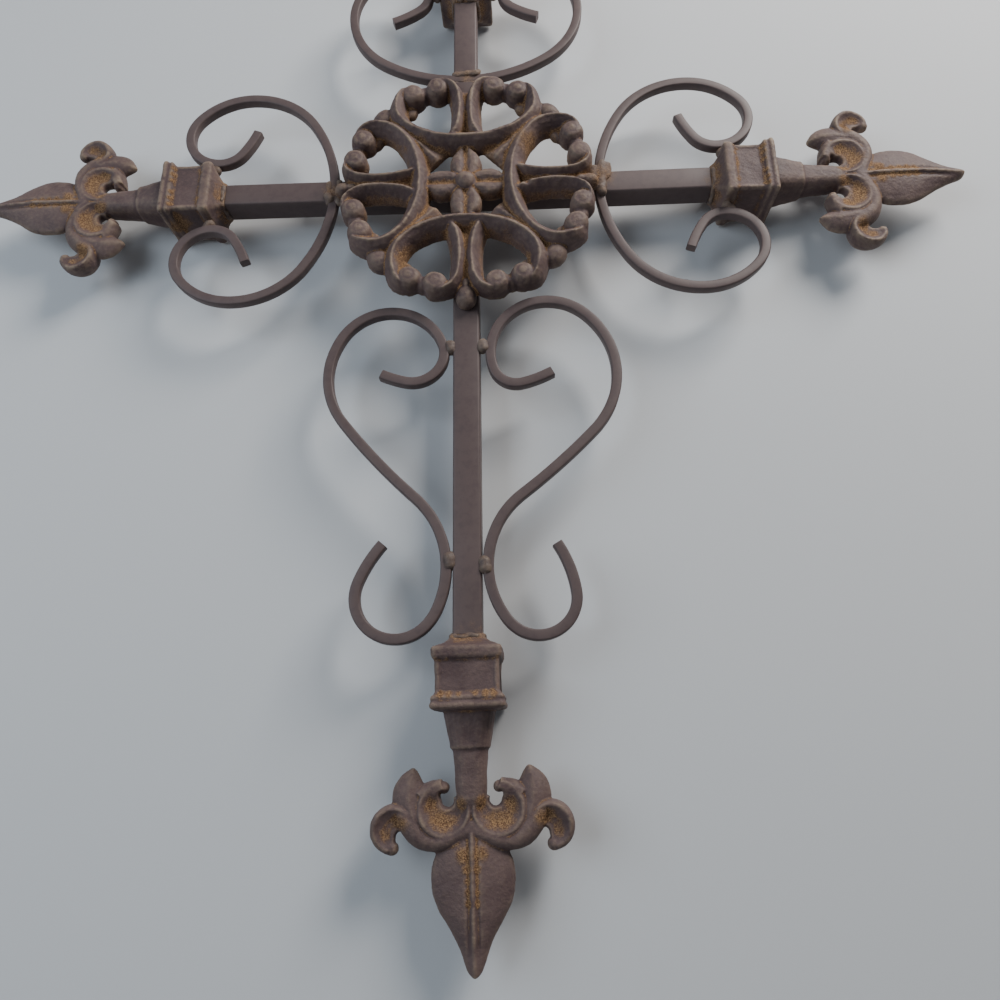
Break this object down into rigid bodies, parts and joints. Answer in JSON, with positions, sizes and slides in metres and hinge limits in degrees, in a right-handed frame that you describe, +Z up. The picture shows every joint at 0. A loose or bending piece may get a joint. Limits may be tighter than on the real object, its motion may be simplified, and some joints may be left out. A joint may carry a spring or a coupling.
{
  "type": "wrought iron wall cross",
  "caption": "Hanging iron cross: square bars with scroll ends, a round openwork cast medallion at the crossing and cast fleur-de-lis finials.",
  "frame": {"origin": "hang_point, on the back face of the upright where the arms cross it", "axes": "+Z up along the upright, +X to the right as seen from the front, front towards -Y and the wall towards +Y"},
  "size_m": [0.5098, 0.0335, 0.6132],
  "materials": {
    "bar_iron": "satin brown painted bar, rust at the welds",
    "rod_iron": "satin brown painted rod",
    "cast_iron": "brown painted casting with ochre rust in the hollows"
  },
  "bodies": {
    "root": {"upright": "bar_iron", "crossbar_left": "bar_iron", "crossbar_right": "bar_iron", "arm_left": "bar_iron", "arm_right": "bar_iron", "arm_top": "bar_iron", "scroll_left": "rod_iron", "scroll_right": "rod_iron", "scroll_top": "rod_iron", "lower_scroll_left": "rod_iron", "lower_scroll_right": "rod_iron", "medallion": "cast_iron", "finial_left": "cast_iron", "finial_right": "cast_iron", "finial_top": "cast_iron", "finial_foot": "cast_iron"}
  },
  "joints": []
}
